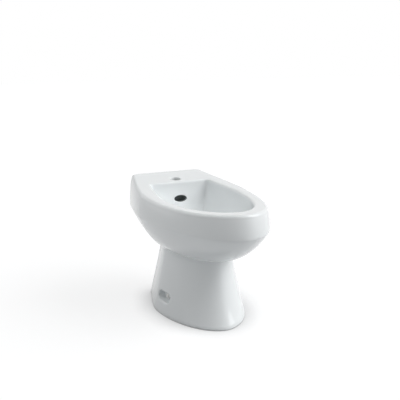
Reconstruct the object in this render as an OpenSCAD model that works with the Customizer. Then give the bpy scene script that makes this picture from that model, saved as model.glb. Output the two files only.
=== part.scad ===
// Floor standing bidet of vitreous china, with its waste and floor fixings.
// Origin: centre of the footprint, on the floor. The front is at -Y, the wall at +Y.

/* [Overall] */
// Overall length, nose of the rim to the back of the deck
length = 628; // [560:1:760]
// Overall width of the bowl at its apron
width = 364; // [303:1:440]
// Height of the rim at the lowest point of its sides
rim_h = 378; // [350:1:454]
// Rise of the rim from that point to the back of the deck
rim_rise = 24; // [0:1:30]

/* [Rim and deck] */
// Width of the deck along its back edge
deck_w = 266; // [222:1:300]
// Depth of the deck, from its back edge to the basin
deck_depth = 132; // [115:1:158]
// Width of the flat of the rim at the sides
rim_side = 46; // [38:1:56]
// Width of the flat of the rim at the nose
rim_nose = 57; // [48:1:68]
// Radius of the outer edge of the rim
rim_edge_r = 11; // [6:1:14]
// Radius of the inner edge of the rim
basin_edge_r = 7; // [4:1:9]
// Thickness of the deck round the tap hole
deck_t = 20; // [14:1:26]
// Diameter of the tap hole
tap_d = 35; // [30:1:42]
// Distance from the basin's back edge to the centre of the tap hole
tap_set = 36; // [30:1:48]

/* [Basin] */
// Depth of the basin, from the rim to the seat of the waste
basin_depth = 146; // [120:1:160]
// Distance from the centre of the length back to the drain
drain_y = 52; // [30:1:80]
// Width of the overflow opening
overflow_w = 46; // [36:1:56]
// Height of the overflow opening
overflow_h = 22; // [16:1:26]
// Depth of the overflow's centre below the basin's back edge
overflow_z = 57; // [48:1:70]

/* [Body] */
// Height of the apron, from the rim to the crease above the underside
apron_h = 92; // [80:1:110]
// How far the apron bulges past the rim
apron_bulge = 8; // [0:0.5:10]
// Height of the neck where the pedestal meets the bowl
neck_h = 204; // [190:1:225]
// Width of the neck
neck_w = 207; // [172:1:236]
// Distance from the centre of the length forward to the front of the neck
neck_front = 133; // [115:1:150]
// Width of the foot
foot_w = 290; // [270:1:310]
// Distance from the centre of the length forward to the front of the foot
foot_front = 187; // [170:1:205]
// Distance from the centre of the length back to the back of the foot
foot_back = 210; // [195:1:230]
// How far the back of the pedestal leans forward at the neck
neck_lean = 40; // [20:1:50]
// Thickness of the china walls
wall = 11; // [9:0.5:13.5]
// Width of the opening in the back of the pedestal
arch_w = 150; // [110:1:160]
// Height of the opening in the back of the pedestal
arch_h = 296; // [260:1:310]

/* [Floor fixings] */
// Height of the side fixing screws above the floor
fix_z = 56; // [48:1:70]
// Distance from the centre of the length back to the side screws
fix_y = 12; // [-10:1:25]
// Length of the recess round each side screw
pocket_l = 68; // [48:1:80]
// Height of the recess round each side screw
pocket_h = 29; // [26:1:38]
// How far the floor of each recess lies inside the side of the foot
pocket_set = 36; // [31:1:49]
// Thickness of the china behind each recess
pocket_wall = 10; // [8:1:13]
// Diameter of the hole for each side screw
screw_hole_d = 12; // [11:0.5:14]
// Diameter of the side screws
screw_d = 6; // [5:0.5:7]
// Diameter of the caps over the side screws
cap_d = 19; // [18:0.5:23]
// Thickness of the steel of the floor brackets
bracket_t = 4; // [3:0.5:5]
// Length of each floor bracket along the foot
bracket_l = 40; // [34:1:50]
// Width of the base of each floor bracket
bracket_w = 42; // [34:1:48]
// Diameter of the holes for the floor screws
floor_hole_d = 8; // [6:0.5:9]
// Distance between the two floor screws of a bracket
floor_hole_gap = 22; // [18:1:26]

/* [Waste] */
// Outside diameter of the waste's thread
waste_d = 41.9; // [35:0.1:50.5]
// Thickness of the waste's tube
waste_wall = 2.5; // [2:0.1:3]
// Gap between the waste's thread and the drain hole in the china
drain_gap = 1.55; // [0.8:0.05:2.5]
// Width of the waste's flange outside its thread
flange_w = 11; // [9:0.5:13]
// Length of the waste, from the china's seat to the end of its tail
waste_l = 96; // [88:1:110]
// Gap between the plug's edge and the mouth of the cone that it shuts
plug_gap = 1.5; // [1:0.25:2.5]
// Travel of the plug between shut and open
plug_travel = 8; // [6:0.5:8.5]

/* [Hidden] */
$fn = 64;

function mix(a, b, t) = a * (1 - t) + b * t;

// Plan outlines: half width, y of the widest point, y of the front, exponent of the front,
// half width at the back, y of the back, radius of the back corners.
basin_back = length / 2 - deck_depth;
rim_shape = [width / 2 - apron_bulge, 0.116 * length, apron_bulge - length / 2, 1.97,
             deck_w / 2, length / 2, 24];
basin_shape = [width / 2 - apron_bulge - rim_side, 0.033 * length,
               apron_bulge + rim_nose - length / 2, 1.93, 0.406 * deck_w, basin_back, 16];
neck_back = foot_back - neck_lean;
neck_shape = [neck_w / 2, 58, -neck_front, 1.85, 0.406 * neck_w, neck_back, 30];
foot_shape = [foot_w / 2, 49, -foot_front, 1.83, 0.386 * foot_w, foot_back, 34];
function inset(s, d) =
    [s[0] - d, s[1], s[2] + d, s[3], s[4] - d, s[5] - d, max(4, s[6] - d)];
function bulged(s, b) = [s[0] + b, s[1], s[2] - b, s[3], s[4] + b, s[5], s[6]];

// Half of an outline: front arc, side, back corner, back
front_n = 12;
side_n = 6;
corner_n = 4;
back_n = 2;
side_power = 1.4;
function half_outline(s) =
    let (yc = s[5] - s[6], xc = s[4] - s[6])
    concat(
        [for (i = [0:front_n]) let (a = 90 * i / front_n)
            [s[0] * pow(sin(a), 2 / s[3]), s[1] - (s[1] - s[2]) * pow(cos(a), 2 / s[3])]],
        [for (i = [1:side_n]) let (t = i / side_n)
            [s[0] - (s[0] - s[4]) * pow(t, side_power), mix(s[1], yc, t)]],
        [for (i = [1:corner_n]) let (a = 90 * i / corner_n)
            [xc + s[6] * cos(a), yc + s[6] * sin(a)]],
        [for (i = [1:back_n]) [xc * (1 - i / back_n), s[5]]]);
function outline(s) =
    let (h = half_outline(s), m = len(h))
    concat(h, [for (i = [m - 2:-1:1]) [-h[i][0], h[i][1]]]);

// Height of the rim over a point of the plan: it dips along the sides
dip_y = -0.067 * length;
function rim_z(y) = rim_h + rim_rise * pow((y - dip_y) / (length / 2 - dip_y), 2);

// A ring of the skin: an outline whose height runs from the dipped rim to a level plane
function ring(s, below, level, flat) =
    [for (p = outline(s)) [p[0], p[1], mix(rim_z(p[1]) - below, level, flat)]];

// Radii of the waste, and of the hole and the seat that the china has for it
waste_r = waste_d / 2;
bore_r = waste_r - waste_wall;
flange_r = waste_r + flange_w;
drain_r = waste_r + drain_gap;
seat_r = flange_r + 4;
boss_r = drain_r + 15.5;

// Basin, from the seat of the waste up to the inner edge of the rim
seat_z = rim_h - basin_depth;
basin_power = 1.65;
spread = 0.8;
basin_n = 11;
function basin_f(s) = 1 - pow(1 - pow(s, basin_power), 1 / basin_power);
function basin_ring(s, grow) =
    [for (p = outline(inset(basin_shape, -grow)))
        let (f = basin_f(s), k = (seat_r + grow) / norm([p[0], p[1] - drain_y]))
        [p[0] * mix(1, k, f), drain_y + (p[1] - drain_y) * mix(1, k, f),
         mix(rim_z(p[1]) - basin_edge_r, seat_z, s)]];
basin_rings = [for (i = [basin_n:-1:0]) basin_ring(pow(i / basin_n, spread), 0)];
basin_edge_rings = [for (a = [30:30:90])
    ring(inset(basin_shape, -basin_edge_r * (1 - cos(a))), basin_edge_r * (1 - sin(a)), 0, 0)];

// Outer edge of the rim, and the apron down to the crease
crease_z = rim_h - apron_h;
crease_in = 0.1;
apron_n = 6;
rim_edge_rings = [for (a = [90:-22.5:0])
    ring(inset(rim_shape, rim_edge_r * (1 - cos(a))), rim_edge_r * (1 - sin(a)), 0, 0)];
apron_rings = [for (i = [1:apron_n])
    let (t = i / apron_n, drawn = crease_in * pow(max(0, 2 * t - 1), 2))
    ring(bulged(mix(rim_shape, neck_shape, drawn), apron_bulge * sin(180 * t)),
         mix(rim_edge_r, apron_h, t), crease_z, pow(t, 2))];

// Underside of the bowl, from the crease to the neck
under_n = 8;
under_start = 20;
under_end = 80;
function under_in(a) =
    crease_in + (1 - crease_in) * (cos(under_start) - cos(a)) / (cos(under_start) - cos(under_end));
function under_down(a) = (sin(a) - sin(under_start)) / (sin(under_end) - sin(under_start));
under_rings = [for (i = [1:under_n]) let (a = mix(under_start, under_end, i / under_n))
    ring(mix(rim_shape, neck_shape, under_in(a)), 0, mix(crease_z, neck_h, under_down(a)), 1)];

// Pedestal and foot
ped_n = 7;
neck_r = 6;
foot_r = 5;
function ped_shape(t) =
    let (s = mix(neck_shape, foot_shape, pow(t, 1.1)))
    [s[0], s[1], mix(neck_shape[2], foot_shape[2], pow(t, 1.7)), s[3], s[4], s[5], s[6]];
ped_rings = [for (i = [1:ped_n]) let (t = i / ped_n)
    ring(ped_shape(t), 0, mix(neck_h - neck_r, foot_r, t), 1)];
foot_rings = [for (a = [45, 90])
    ring(inset(foot_shape, foot_r * (1 - cos(a))), 0, foot_r * (1 - sin(a)), 1)];

// Inside of the pedestal, and of the outer wall up to the deck
foot_wall = wall + 5;
void_n = 4;
in_ped_rings = [for (i = [ped_n:-1:0]) let (t = i / ped_n)
    ring(inset(ped_shape(t), i == ped_n ? foot_wall : wall), 0,
         i == ped_n ? 0 : mix(neck_h + 4, foot_r, t), 1)];
void_low_rings = [for (i = [void_n - 1:-1:0]) let (a = mix(under_start, under_end, i / void_n))
    ring(inset(mix(rim_shape, neck_shape, under_in(a)), wall + 2), 0,
         mix(crease_z, neck_h + 8, under_down(a)), 1)];
void_top_rings = [ring(inset(rim_shape, wall), deck_t + 6, 0, 0),
                  ring(inset(rim_shape, wall + 5), deck_t, 0, 0)];

// Outside of the basin wall, from under the rim down to the boss round the drain
boss_t = 34;
boss_z = seat_z - boss_t;
out_n = 7;
void_in_rings = concat([ring(inset(basin_shape, -wall - 3), deck_t, 0, 0)],
    [for (i = [1:out_n]) let (s = i / out_n)
        [for (p = basin_ring(pow(s, spread), wall)) [p[0], p[1], p[2] - wall * pow(s, 2)]]]);
boss_ring = [for (p = void_in_rings[out_n]) let (k = boss_r / norm([p[0], p[1] - drain_y]))
    [p[0] * k, drain_y + (p[1] - drain_y) * k, boss_z]];

// A solid through a list of rings, closed flat at both ends
module ring_solid(rings) {
    n = len(rings[0]);
    m = len(rings);
    sides = [for (j = [0:m - 2], i = [0:n - 1], k = [0, 1])
        let (a = j * n + i, b = j * n + (i + 1) % n)
        k == 0 ? [a, b, b + n] : [a, b + n, a + n]];
    first = [for (i = [n - 1:-1:0]) i];
    last = [for (i = [0:n - 1]) (m - 1) * n + i];
    polyhedron(points = [for (r = rings) each r], faces = concat(sides, [first, last]));
}

// Tap hole, overflow and its duct to the drain
tap_y = basin_back + tap_set;
over_z = rim_z(basin_back) - overflow_z;
duct_d = 16;
duct_wall = 8;
duct_lid = 11;
slot_z = seat_z - 18;
duct_path = [[basin_back + duct_d / 2 + 3, over_z + duct_d / 2 + 2], [basin_back, over_z - 46],
             [basin_back - 36, over_z - 84], [drain_y + boss_r - 4, slot_z + 1.5],
             [drain_y + drain_r / 2, slot_z + 0.5]];
duct_top = duct_path[0] + (duct_path[0] - duct_path[1]) * duct_lid / norm(duct_path[0] - duct_path[1]);
duct_solid_path = concat([duct_top], [for (i = [1:4]) duct_path[i]]);

// A band of even thickness along a path in the plane x = 0
function side_of(a, b) = let (v = (b - a) / norm(b - a)) [-v[1], v[0]];
function band_edge(p, d) = [for (i = [0:len(p) - 1])
    let (u = side_of(p[max(0, i - 1)], p[max(1, i)]),
         v = side_of(p[min(i, len(p) - 2)], p[min(i + 1, len(p) - 1)]))
    p[i] + (u + v) * d / (1 + u * v)];
module band(p, d, w) {
    down = band_edge(p, -d / 2);
    translate([-w / 2, 0, 0]) rotate([90, 0, 90]) linear_extrude(w)
        polygon(concat(band_edge(p, d / 2), [for (i = [len(p) - 1:-1:0]) down[i]]));
}
module stadium(l, h) {
    square([l - h, h], center = true);
    for (s = [-1, 1]) translate([s * (l - h) / 2, 0]) circle(d = h);
}
module oval(l, h) {
    polygon([for (a = [0:5:355]) [l / 2 * cos(a), h / 2 * sin(a)]]);
}
module both_sides() {
    for (s = [0, 1]) mirror([s, 0, 0]) children();
}
// The axis of the right-hand side screw, from a distance x off the middle
module on_screw(x) {
    translate([x, fix_y, fix_z]) rotate([90, 0, 90]) children();
}

// Recesses of the side screws: a pad of china closes each one inside the foot
pocket_rim = 8;
pocket_x = foot_w / 2 - pocket_set;
pocket_in = pocket_x - pocket_wall;
pad_rings = [for (i = [2:ped_n]) let (t = i / ped_n)
    ring(inset(ped_shape(t), wall / 2), 0, mix(neck_h, 2, t), 1)];
module pocket_pads() {
    intersection() {
        both_sides() on_screw(pocket_in) linear_extrude(pocket_x)
            stadium(pocket_l + 2 * pocket_rim, pocket_h + 2 * pocket_rim);
        ring_solid(pad_rings);
    }
}

// Opening in the back of the pedestal and up under the deck, clear of the duct
arch_y = duct_path[0][0] + 23;
arch_in = neck_back - 40;
arch_profile = [[arch_in, -5], [arch_in, neck_h - 54], [neck_back - 22, neck_h],
                [neck_back + 8, neck_h + 36], [arch_y, neck_h + 58], [arch_y, arch_h + 10],
                [length, arch_h + 10], [length, -5]];
module arch() {
    intersection() {
        translate([-arch_w, 0, 0]) rotate([90, 0, 90]) linear_extrude(2 * arch_w)
            polygon(arch_profile);
        translate([0, length, 0]) rotate([90, 0, 0]) linear_extrude(length) {
            translate([-arch_w / 2, -10]) square([arch_w, arch_h - arch_w / 2 + 10]);
            translate([0, arch_h - arch_w / 2]) circle(d = arch_w);
        }
    }
}

module china_body() {
    color("white")
    difference() {
        union() {
            ring_solid(concat(basin_rings, basin_edge_rings, rim_edge_rings, apron_rings,
                              under_rings, ped_rings, foot_rings, in_ped_rings, void_low_rings,
                              void_top_rings, void_in_rings, [boss_ring]));
            band(duct_solid_path, duct_d + 2 * duct_wall, overflow_w + 2 * duct_wall);
            pocket_pads();
        }
        translate([0, tap_y, rim_z(tap_y) - 2 * deck_t]) cylinder(d = tap_d, h = 3 * deck_t);
        translate([0, drain_y, boss_z - 10]) cylinder(r = drain_r, h = basin_depth);
        translate([0, basin_back - 40, over_z]) rotate([-90, 0, 0])
            linear_extrude(40 + duct_d / 2) oval(overflow_w, overflow_h);
        band(duct_path, duct_d, overflow_w);
        both_sides() on_screw(pocket_x) linear_extrude(pocket_x) stadium(pocket_l, pocket_h);
        both_sides() on_screw(pocket_in - 10) cylinder(d = screw_hole_d, h = 40);
        arch();
    }
}

// Waste: the flange and the conical seat of the plug stand on the china's seat, on a washer
thread_gap = 0.1;
washer_t = 2;
flange_t = 3.5;
flange_z = seat_z + washer_t;
flange_top = flange_z + flange_t;
cone_r = bore_r + 5.5;
cone_h = 6.5;
ledge_z = seat_z - 36;
ledge_w = 1;

// Under the china: cone seal, slip washer and back nut, and the tail below a groove in the thread
seal_h = 8;
slip_t = 2;
nut_h = 10;
nut_wall = 10;
slip_z = boss_z - seal_h - slip_t;
tail_z = slip_z - nut_h - 3.5;
groove_h = 3;
groove_t = 0.9;
tail_end_z = seat_z - waste_l;
tail_bevel = 1;
module on_drain() {
    translate([0, drain_y, 0]) children();
}
module turned(points) {
    rotate_extrude() polygon(points);
}
module ring_disc(r_in, r_out, z, t) {
    turned([[r_in, z], [r_out, z], [r_out, z + t], [r_in, z + t]]);
}
module waste_body() {
    r = flange_r;
    groove_r = waste_r - groove_t;
    color("silver") on_drain() difference() {
        turned([[bore_r - ledge_w, tail_end_z], [waste_r - tail_bevel, tail_end_z],
                [waste_r, tail_end_z + tail_bevel], [waste_r, tail_z], [groove_r, tail_z],
                [groove_r, tail_z + groove_h], [waste_r, tail_z + groove_h], [waste_r, flange_z],
                [r, flange_z], [r, flange_z + 1], [r - 0.6, flange_z + 2], [r - 2, flange_top - 0.5],
                [r - 5, flange_top], [cone_r, flange_top], [bore_r, flange_top - cone_h],
                [bore_r, ledge_z], [bore_r - ledge_w, ledge_z]]);
        for (a = [0, 90]) rotate([90, 0, a]) translate([0, slot_z, -waste_d])
            linear_extrude(2 * waste_d) stadium(18, 11);
    }
}
module flange_washer() {
    color("black") on_drain() ring_disc(waste_r + thread_gap, flange_r - 1.5, seat_z, washer_t);
}
module cone_seal() {
    r = waste_r + thread_gap;
    color("black") on_drain()
        turned([[r, boss_z - seal_h], [r + 8, boss_z - seal_h], [r + 12, boss_z], [r, boss_z]]);
}
module slip_washer() {
    color("lightgray") on_drain() ring_disc(waste_r + thread_gap, waste_r + 9, slip_z, slip_t);
}
module back_nut() {
    color("dimgray") on_drain() translate([0, 0, slip_z - nut_h]) difference() {
        cylinder(r = (waste_r + nut_wall) / cos(30), h = nut_h, $fn = 6);
        translate([0, 0, -1]) cylinder(r = waste_r + thread_gap, h = nut_h + 2);
    }
}

// Click mechanism: a bridge on the ledge of the tube carries the cartridge of the plug's stem
bridge_t = 6;
barrel_r = 8;
plunger_r = 5;
plunger_h = 6;
stem_r = 3;
run_gap = 0.06;
barrel_floor = ledge_z - 2;
plunger_z = barrel_floor + 14;
collar_z = plunger_z + plunger_h + plug_travel + 0.2;
collar_t = 3.6;
cap_z = flange_top - 4;
module waste_bridge() {
    color("gray") on_drain() translate([0, 0, ledge_z]) {
        ring_disc(bore_r - 2.6, bore_r - thread_gap, 0, bridge_t);
        ring_disc(barrel_r + run_gap, barrel_r + 3, 0, bridge_t);
        for (a = [45:120:285]) rotate([0, 0, a]) translate([barrel_r + 2.5, -1.5, 0])
            cube([bore_r - barrel_r - 4.6, 3, bridge_t]);
    }
}
module click_cartridge() {
    r = plunger_r + run_gap;
    z = ledge_z + bridge_t;
    color("gainsboro") on_drain()
        turned([[0, barrel_floor - 3], [barrel_r, barrel_floor - 3], [barrel_r, z],
                [barrel_r + 2, z], [barrel_r + 2, z + 2], [barrel_r, z + 2],
                [barrel_r, collar_z + collar_t], [stem_r + run_gap, collar_z + collar_t],
                [stem_r + run_gap, collar_z], [r, collar_z], [r, barrel_floor], [0, barrel_floor]]);
}
spring_turns = 5;
wire_r = 0.4;
module cartridge_spring() {
    low = barrel_floor + wire_r;
    high = plunger_z - wire_r;
    mid_r = plunger_r - 2 * wire_r - 0.2;
    steps = 16 * spring_turns;
    color("silver") on_drain() ring_solid([for (i = [0:steps])
        let (a = -360 * spring_turns * i / steps, z = mix(high, low, i / steps))
        [for (b = [300:-60:0]) let (r = mid_r + wire_r * cos(b))
            [r * cos(a), r * sin(a), z + wire_r * sin(b)]]]);
}

// Plug: the cap shuts on the cone with an O-ring; its stem ends in the plunger
seal_r = 1.8;
seal_ring_r = bore_r + 1.5;
seal_gap = 0.25;
cone_len = norm([cone_r - bore_r, cone_h]);
seal_lift = ((cone_r - seal_ring_r) * cone_h / cone_len - seal_r - seal_gap) * cone_len
    / (cone_r - bore_r);
seal_ring_z = flange_top - seal_lift;
module plug_cap() {
    groove_r = seal_ring_r - seal_r;
    cap_r = cone_r - plug_gap;
    under = flange_top + 0.3;
    rim = 1.2;
    dome = 4.6;
    color("silver") on_drain() difference() {
        turned(concat([[0, cap_z], [groove_r + 0.8, cap_z], [groove_r + 0.8, seal_ring_z - seal_r],
                       [groove_r, seal_ring_z - seal_r], [groove_r, under], [cap_r, under]],
                      [for (a = [0:9:90]) [cap_r * cos(a), under + rim + dome * sin(a)]]));
        translate([0, 0, cap_z - 1]) cylinder(r = stem_r, h = 6);
    }
}
module plug_seal() {
    color("black") on_drain() translate([0, 0, seal_ring_z]) rotate_extrude()
        translate([seal_ring_r, 0]) circle(r = seal_r, $fn = 32);
}
module plug_stem() {
    color("gray") on_drain()
        turned([[0, plunger_z], [plunger_r, plunger_z], [plunger_r, plunger_z + plunger_h],
                [stem_r, plunger_z + plunger_h], [stem_r, cap_z + 5], [0, cap_z + 5]]);
}

// Floor brackets: steel angles inside the foot, their uprights behind the side recesses
sleeve_flange = 2;
bracket_x = pocket_in - sleeve_flange;
bracket_h = fix_z + 20;
bend_r = bracket_t + 2;
screw_gap = 0.3;
module bent_strip() {
    difference() {
        union() {
            translate([-bracket_w, 0]) square([bracket_w - bend_r, bracket_t]);
            translate([-bracket_t, bend_r]) square([bracket_t, bracket_h - bend_r]);
            intersection() {
                translate([-bend_r, bend_r]) circle(r = bend_r);
                translate([-bend_r, 0]) square(bend_r);
            }
        }
        translate([-bend_r, bend_r]) circle(r = bend_r - bracket_t);
    }
}
module floor_bracket_right() {
    color("silver") difference() {
        translate([bracket_x, fix_y + bracket_l / 2, 0]) rotate([90, 0, 0])
            linear_extrude(bracket_l) bent_strip();
        on_screw(bracket_x - 2 * bracket_t) cylinder(d = screw_d + 2 * screw_gap, h = 20);
        for (s = [-1, 1])
            translate([bracket_x - bracket_w / 2 - 2, fix_y + s * floor_hole_gap / 2, -1])
                cylinder(d = floor_hole_d, h = bracket_t + 2);
    }
}
module floor_bracket_left() {
    mirror([1, 0, 0]) floor_bracket_right();
}

// Side screws with their nuts, sleeves, washers and caps
nut_w = 10;
nut_t = 5;
head_t = 4;
shank_in = 13;
side_washer_t = 1.2;
clip_t = 1.5;
clip_r = cap_d / 2 - 1.5;
clip_x = pocket_x + side_washer_t;
head_x = clip_x + clip_t;
screw_r = screw_d / 2;
module bracket_nuts() {
    color("silver") both_sides() on_screw(bracket_x - bracket_t - nut_t) difference() {
        cylinder(d = nut_w / cos(30), h = nut_t, $fn = 6);
        translate([0, 0, -1]) cylinder(r = screw_r + thread_gap, h = nut_t + 2);
    }
}
module side_screws() {
    x = bracket_x - bracket_t - shank_in;
    color("silver") both_sides() {
        on_screw(x) cylinder(r = screw_r, h = head_x - x);
        on_screw(head_x) cylinder(d = nut_w / cos(30), h = head_t, $fn = 6);
    }
}
module screw_sleeves() {
    r = screw_r + screw_gap;
    out = screw_hole_d / 2 - 0.5;
    color("white") both_sides() on_screw(bracket_x)
        turned([[r, 0], [out + 3.5, 0], [out + 3.5, sleeve_flange], [out, sleeve_flange],
                [out, pocket_x - bracket_x], [r, pocket_x - bracket_x]]);
}
module side_washers() {
    color("silver") both_sides() on_screw(pocket_x)
        ring_disc(screw_r + screw_gap, cap_d / 2 + 0.8, 0, side_washer_t);
}
module cap_rings() {
    color("white") both_sides() on_screw(clip_x)
        ring_disc(screw_r + screw_gap, clip_r, 0, clip_t);
}
module fixing_caps() {
    r = cap_d / 2;
    skirt = clip_t + 0.4;
    rise = 6.6;
    color("white") both_sides() on_screw(clip_x)
        turned(concat([[r, 0]], [for (a = [0:9:90]) [r * cos(a), skirt + rise * sin(a)]],
                      [for (a = [90:-9:0])
                          [(clip_r + run_gap) * cos(a), skirt + (rise - 1.4) * sin(a)]],
                      [[clip_r + run_gap, 0]]));
}

china_body();
waste_body();
flange_washer();
cone_seal();
slip_washer();
back_nut();
waste_bridge();
click_cartridge();
cartridge_spring();
plug_cap();
plug_seal();
plug_stem();
floor_bracket_left();
floor_bracket_right();
bracket_nuts();
side_screws();
screw_sleeves();
side_washers();
cap_rings();
fixing_caps();
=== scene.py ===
import math

import bmesh
import bpy
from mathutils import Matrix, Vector
from mathutils.bvhtree import BVHTree


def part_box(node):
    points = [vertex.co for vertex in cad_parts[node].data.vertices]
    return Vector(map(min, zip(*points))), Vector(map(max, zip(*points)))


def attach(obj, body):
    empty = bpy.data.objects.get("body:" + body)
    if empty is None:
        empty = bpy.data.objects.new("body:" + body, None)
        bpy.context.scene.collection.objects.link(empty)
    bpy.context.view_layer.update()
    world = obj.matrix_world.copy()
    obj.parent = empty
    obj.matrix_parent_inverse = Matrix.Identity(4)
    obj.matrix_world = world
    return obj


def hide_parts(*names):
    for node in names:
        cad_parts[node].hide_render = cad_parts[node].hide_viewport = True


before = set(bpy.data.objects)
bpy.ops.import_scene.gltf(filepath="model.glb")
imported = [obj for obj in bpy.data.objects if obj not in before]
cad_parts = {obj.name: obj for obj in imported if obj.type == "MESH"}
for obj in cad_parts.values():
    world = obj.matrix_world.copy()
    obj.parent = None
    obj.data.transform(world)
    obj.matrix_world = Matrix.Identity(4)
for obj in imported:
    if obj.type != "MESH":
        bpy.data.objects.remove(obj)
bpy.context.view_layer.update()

# ---------------------------------------------------------------------------------------
# The china body: one hollow casting of vitreous china, slip cast in a plaster mould with
# its basin, double wall, overflow duct and pedestal, trimmed and sponged, glazed and fired.
# Its holes are cut in the soft clay, so their lips are rounded and the glaze runs over them.
# ---------------------------------------------------------------------------------------
MM = 0.001


def linear(hex_colour):
    """A colour's linear values from its sRGB hex value."""
    parts = [int(hex_colour[i:i + 2], 16) / 255 for i in (1, 3, 5)]
    return tuple(c / 12.92 if c <= 0.04045 else ((c + 0.055) / 1.055) ** 2.4
                 for c in parts) + (1,)


def add(material, kind, inputs, **settings):
    """A node of a material or the world. Each input, by name or number, is given a value or the
    output that it is linked to."""
    node = material.node_tree.nodes.new(kind)
    for name, value in settings.items():
        setattr(node, name, value)
    for name, value in inputs.items():
        if isinstance(value, bpy.types.NodeSocket):
            material.node_tree.links.new(value, node.inputs[name])
        else:
            node.inputs[name].default_value = value
    return node


def new_material(name):
    """An empty material, with the coordinates that its patterns read."""
    material = bpy.data.materials.new(name)
    material.use_nodes = True
    material.node_tree.nodes.clear()
    return material, add(material, "ShaderNodeTexCoord", {}).outputs["Object"]


# White glaze on vitreous china, dipped and fired to a glass 0.5 mm thick: it gives a clear,
# even gloss whose reflections wander a little, because the glaze flowed before it set
glaze, place = new_material("white glazed vitreous china")
cloud = add(glaze, "ShaderNodeTexNoise", {"Vector": place, "Scale": 1 / (120 * MM), "Detail": 2.0})
flow = add(glaze, "ShaderNodeTexNoise", {"Vector": place, "Scale": 1 / (18 * MM), "Detail": 1.0})
colour = add(glaze, "ShaderNodeMix", {0: cloud.outputs[0], 6: linear("#EEF2F3"),
                                      7: linear("#F3F6F7")}, data_type="RGBA")
shine = add(glaze, "ShaderNodeMapRange", {0: cloud.outputs[0], 3: 0.10, 4: 0.16})
ripple = add(glaze, "ShaderNodeBump", {"Height": flow.outputs[0], "Strength": 0.02,
                                       "Distance": 0.4 * MM})
surface = add(glaze, "ShaderNodeBsdfPrincipled",
              {"Base Color": colour.outputs[2], "Roughness": shine.outputs[0], "IOR": 1.52,
               "Normal": ripple.outputs[0]})
add(glaze, "ShaderNodeOutputMaterial", {"Surface": surface.outputs[0]})

# The same glaze inside the casting, where it only runs through: it is thin and uneven, so the
# cream clay shows in clouds and the gloss is dull
thin_glaze, place = new_material("thin glaze inside the casting")
runs = add(thin_glaze, "ShaderNodeTexNoise", {"Vector": place, "Scale": 1 / (35 * MM),
                                              "Detail": 5.0, "Distortion": 0.6})
colour = add(thin_glaze, "ShaderNodeMix", {0: runs.outputs[0], 6: linear("#D9D3C6"),
                                           7: linear("#EDEDE8")}, data_type="RGBA")
shine = add(thin_glaze, "ShaderNodeMapRange", {0: runs.outputs[0], 3: 0.6, 4: 0.2})
drips = add(thin_glaze, "ShaderNodeBump", {"Height": runs.outputs[0], "Strength": 0.25,
                                           "Distance": 0.6 * MM})
surface = add(thin_glaze, "ShaderNodeBsdfPrincipled",
              {"Base Color": colour.outputs[2], "Roughness": shine.outputs[0], "IOR": 1.52,
               "Normal": drips.outputs[0]})
add(thin_glaze, "ShaderNodeOutputMaterial", {"Surface": surface.outputs[0]})

# Bare fired clay on the face that stood on the kiln shelf: matt, cream, grainy, a little dirty
biscuit, place = new_material("unglazed fired clay")
grain = add(biscuit, "ShaderNodeTexNoise", {"Vector": place, "Scale": 1 / (0.8 * MM),
                                            "Detail": 3.0})
dirt = add(biscuit, "ShaderNodeTexNoise", {"Vector": place, "Scale": 1 / (25 * MM),
                                           "Detail": 4.0})
colour = add(biscuit, "ShaderNodeMix", {0: dirt.outputs[0], 6: linear("#C9BDA9"),
                                        7: linear("#E2D9C8")}, data_type="RGBA")
rough = add(biscuit, "ShaderNodeBump", {"Height": grain.outputs[0], "Strength": 0.3,
                                        "Distance": 0.2 * MM})
surface = add(biscuit, "ShaderNodeBsdfPrincipled",
              {"Base Color": colour.outputs[2], "Roughness": 0.92, "IOR": 1.5,
               "Normal": rough.outputs[0]})
add(biscuit, "ShaderNodeOutputMaterial", {"Surface": surface.outputs[0]})

# The duct's walls are out of reach of the glaze and of any brush. Their clay is painted grey in
# streaks as painted shade, so that with what little light gets in the overflow looks nearly black
duct_painted_shade, place = new_material("duct clay painted grey as shade")
streaks = add(duct_painted_shade, "ShaderNodeTexNoise", {"Vector": place, "Scale": 1 / (6 * MM),
                                              "Detail": 4.0, "Distortion": 1.0})
colour = add(duct_painted_shade, "ShaderNodeMix", {0: streaks.outputs[0], 6: linear("#7C8182"),
                                        7: linear("#939899")}, data_type="RGBA")
surface = add(duct_painted_shade, "ShaderNodeBsdfPrincipled",
              {"Base Color": colour.outputs[2], "Roughness": 0.8, "IOR": 1.5})
add(duct_painted_shade, "ShaderNodeOutputMaterial", {"Surface": surface.outputs[0]})
china_finishes = (glaze, thin_glaze, biscuit, duct_painted_shade)
# Finish numbers; the last is the duct's grey clay, painted as shade
OUTSIDE, INSIDE, BARE, DUCT_PAINTED_SHADE = range(4)

body_low, body_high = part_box("china_body")
length = (body_high[1] - body_low[1]) / MM
width = (body_high[0] - body_low[0]) / MM
waste_low, waste_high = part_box("waste_body")
drain_y = (waste_low[1] + waste_high[1]) / 2 / MM
seat_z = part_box("flange_washer")[0][2] / MM

# Sizes in mm, from here to the studio. First the rim and the deck:
rim_h = 378
rim_rise = 24
dip_y = -0.067 * length
rim_side = 46
rim_nose = 57
rim_edge_r = 11
deck_w = 266
deck_depth = 132
deck_t = 20
# the basin, how full its bowl is and how its rings crowd towards the edge, and the waste's seat,
basin_back = length / 2 - deck_depth
basin_edge_r = 7
basin_power = 1.65
basin_spread = 0.8
seat_r = 36
drain_r = 22.5
boss_r = 38
boss_t = 34
# the apron under the rim, whose crease falls from the nose to the back, and the underside,
apron_h = 58
apron_bulge = 8
apron_arc = math.radians(108)
crease_fall = 28
under_start = 42
under_end = 80
# and the neck, the flare of the pedestal at its sides and front, the foot and the walls
neck_h = 204
neck_r = 6
neck_back = 170
side_flare = 1.1
front_flare = 1.7
foot_r = 5
wall = 11
least_corner_r = 4

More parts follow.
